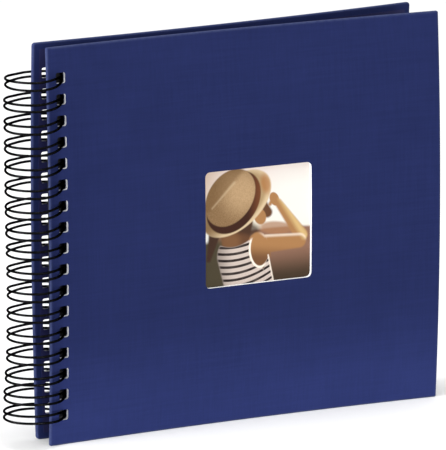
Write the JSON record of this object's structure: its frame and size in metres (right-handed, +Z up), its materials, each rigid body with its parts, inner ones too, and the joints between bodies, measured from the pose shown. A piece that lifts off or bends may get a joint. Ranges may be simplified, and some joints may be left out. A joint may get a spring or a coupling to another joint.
{
  "type": "spiral-bound scrapbook album",
  "caption": "Cloth-covered scrapbook album bound by a twin-loop wire, with punched black card leaves and a square window with a print in the front cover.",
  "frame": {"origin": "middle of the album's footprint, on the surface it stands on", "axes": "+Z up along the wire spine, -Y out of the front cover, -X towards the wire spine, +X towards the fore-edge"},
  "size_m": [0.2822, 0.044, 0.24],
  "materials": {
    "greyboard": "matt pale binder's board, white where it is cut",
    "bookcloth": "matt woven navy bookcloth",
    "endpaper": "matt dark paper",
    "print": "satin photographic print",
    "coated_wire": "gloss black nylon coating on steel wire",
    "black_card": "matt black card"
  },
  "bodies": {
    "back_cover": {"back_cover_board": "greyboard", "back_cover_cloth": "bookcloth", "back_endpaper": "endpaper", "twin_loop_wire": "coated_wire"},
    "front_cover": {"front_cover_board": "greyboard", "front_cover_cloth": "bookcloth", "front_endpaper": "endpaper", "cover_print": "print"},
    "leaf_01": {"leaf_01": "black_card"},
    "leaf_02": {"leaf_02": "black_card"},
    "leaf_03": {"leaf_03": "black_card"},
    "leaf_04": {"leaf_04": "black_card"},
    "leaf_05": {"leaf_05": "black_card"},
    "leaf_06": {"leaf_06": "black_card"},
    "leaf_07": {"leaf_07": "black_card"},
    "leaf_08": {"leaf_08": "black_card"},
    "leaf_09": {"leaf_09": "black_card"},
    "leaf_10": {"leaf_10": "black_card"},
    "leaf_11": {"leaf_11": "black_card"},
    "leaf_12": {"leaf_12": "black_card"},
    "leaf_13": {"leaf_13": "black_card"},
    "leaf_14": {"leaf_14": "black_card"},
    "leaf_15": {"leaf_15": "black_card"},
    "leaf_16": {"leaf_16": "black_card"},
    "leaf_17": {"leaf_17": "black_card"},
    "leaf_18": {"leaf_18": "black_card"},
    "leaf_19": {"leaf_19": "black_card"},
    "leaf_20": {"leaf_20": "black_card"}
  },
  "joints": [
    {"name": "front_cover_turn", "type": "hinge", "parent": "back_cover", "child": "front_cover", "pos_m": [-0.12357, -0.00468, 0.12], "axis": [0, 0, -1], "range_deg": [0, 176]},
    {"name": "leaf_01_turn", "type": "hinge", "parent": "back_cover", "child": "leaf_01", "pos_m": [-0.12357, -0.00468, 0.12], "axis": [0, 0, -1], "range_deg": [0, 168.1]},
    {"name": "leaf_02_turn", "type": "hinge", "parent": "back_cover", "child": "leaf_02", "pos_m": [-0.12357, -0.00468, 0.12], "axis": [0, 0, -1], "range_deg": [0, 159.7]},
    {"name": "leaf_03_turn", "type": "hinge", "parent": "back_cover", "child": "leaf_03", "pos_m": [-0.12357, -0.00468, 0.12], "axis": [0, 0, -1], "range_deg": [0, 151.3]},
    {"name": "leaf_04_turn", "type": "hinge", "parent": "back_cover", "child": "leaf_04", "pos_m": [-0.12357, -0.00468, 0.12], "axis": [0, 0, -1], "range_deg": [0, 143]},
    {"name": "leaf_05_turn", "type": "hinge", "parent": "back_cover", "child": "leaf_05", "pos_m": [-0.12357, -0.00468, 0.12], "axis": [0, 0, -1], "range_deg": [0, 134.6]},
    {"name": "leaf_06_turn", "type": "hinge", "parent": "back_cover", "child": "leaf_06", "pos_m": [-0.12357, -0.00468, 0.12], "axis": [0, 0, -1], "range_deg": [0, 126.2]},
    {"name": "leaf_07_turn", "type": "hinge", "parent": "back_cover", "child": "leaf_07", "pos_m": [-0.12357, -0.00468, 0.12], "axis": [0, 0, -1], "range_deg": [0, 117.8]},
    {"name": "leaf_08_turn", "type": "hinge", "parent": "back_cover", "child": "leaf_08", "pos_m": [-0.12357, -0.00468, 0.12], "axis": [0, 0, -1], "range_deg": [0, 109.4]},
    {"name": "leaf_09_turn", "type": "hinge", "parent": "back_cover", "child": "leaf_09", "pos_m": [-0.12357, -0.00468, 0.12], "axis": [0, 0, -1], "range_deg": [0, 101.1]},
    {"name": "leaf_10_turn", "type": "hinge", "parent": "back_cover", "child": "leaf_10", "pos_m": [-0.12357, -0.00468, 0.12], "axis": [0, 0, -1], "range_deg": [0, 92.7]},
    {"name": "leaf_11_turn", "type": "hinge", "parent": "back_cover", "child": "leaf_11", "pos_m": [-0.12357, -0.00468, 0.12], "axis": [0, 0, -1], "range_deg": [0, 84.3]},
    {"name": "leaf_12_turn", "type": "hinge", "parent": "back_cover", "child": "leaf_12", "pos_m": [-0.12357, -0.00468, 0.12], "axis": [0, 0, -1], "range_deg": [0, 75.9]},
    {"name": "leaf_13_turn", "type": "hinge", "parent": "back_cover", "child": "leaf_13", "pos_m": [-0.12357, -0.00468, 0.12], "axis": [0, 0, -1], "range_deg": [0, 67.6]},
    {"name": "leaf_14_turn", "type": "hinge", "parent": "back_cover", "child": "leaf_14", "pos_m": [-0.12357, -0.00468, 0.12], "axis": [0, 0, -1], "range_deg": [0, 59.2]},
    {"name": "leaf_15_turn", "type": "hinge", "parent": "back_cover", "child": "leaf_15", "pos_m": [-0.12357, -0.00468, 0.12], "axis": [0, 0, -1], "range_deg": [0, 50.8]},
    {"name": "leaf_16_turn", "type": "hinge", "parent": "back_cover", "child": "leaf_16", "pos_m": [-0.12357, -0.00468, 0.12], "axis": [0, 0, -1], "range_deg": [0, 42.4]},
    {"name": "leaf_17_turn", "type": "hinge", "parent": "back_cover", "child": "leaf_17", "pos_m": [-0.12357, -0.00468, 0.12], "axis": [0, 0, -1], "range_deg": [0, 34]},
    {"name": "leaf_18_turn", "type": "hinge", "parent": "back_cover", "child": "leaf_18", "pos_m": [-0.12357, -0.00468, 0.12], "axis": [0, 0, -1], "range_deg": [0, 25.7]},
    {"name": "leaf_19_turn", "type": "hinge", "parent": "back_cover", "child": "leaf_19", "pos_m": [-0.12357, -0.00468, 0.12], "axis": [0, 0, -1], "range_deg": [0, 17.3]},
    {"name": "leaf_20_turn", "type": "hinge", "parent": "back_cover", "child": "leaf_20", "pos_m": [-0.12357, -0.00468, 0.12], "axis": [0, 0, -1], "range_deg": [0, 8.9]}
  ],
  "couplings": [
    {"joint": "leaf_01_turn", "follows": "front_cover_turn", "ratio": 0.9524},
    {"joint": "leaf_02_turn", "follows": "front_cover_turn", "ratio": 0.9048},
    {"joint": "leaf_03_turn", "follows": "front_cover_turn", "ratio": 0.8571},
    {"joint": "leaf_04_turn", "follows": "front_cover_turn", "ratio": 0.8095},
    {"joint": "leaf_05_turn", "follows": "front_cover_turn", "ratio": 0.7619},
    {"joint": "leaf_06_turn", "follows": "front_cover_turn", "ratio": 0.7143},
    {"joint": "leaf_07_turn", "follows": "front_cover_turn", "ratio": 0.6667},
    {"joint": "leaf_08_turn", "follows": "front_cover_turn", "ratio": 0.619},
    {"joint": "leaf_09_turn", "follows": "front_cover_turn", "ratio": 0.5714},
    {"joint": "leaf_10_turn", "follows": "front_cover_turn", "ratio": 0.5238},
    {"joint": "leaf_11_turn", "follows": "front_cover_turn", "ratio": 0.4762},
    {"joint": "leaf_12_turn", "follows": "front_cover_turn", "ratio": 0.4286},
    {"joint": "leaf_13_turn", "follows": "front_cover_turn", "ratio": 0.381},
    {"joint": "leaf_14_turn", "follows": "front_cover_turn", "ratio": 0.3333},
    {"joint": "leaf_15_turn", "follows": "front_cover_turn", "ratio": 0.2857},
    {"joint": "leaf_16_turn", "follows": "front_cover_turn", "ratio": 0.2381},
    {"joint": "leaf_17_turn", "follows": "front_cover_turn", "ratio": 0.1905},
    {"joint": "leaf_18_turn", "follows": "front_cover_turn", "ratio": 0.1429},
    {"joint": "leaf_19_turn", "follows": "front_cover_turn", "ratio": 0.0952},
    {"joint": "leaf_20_turn", "follows": "front_cover_turn", "ratio": 0.0476}
  ]
}
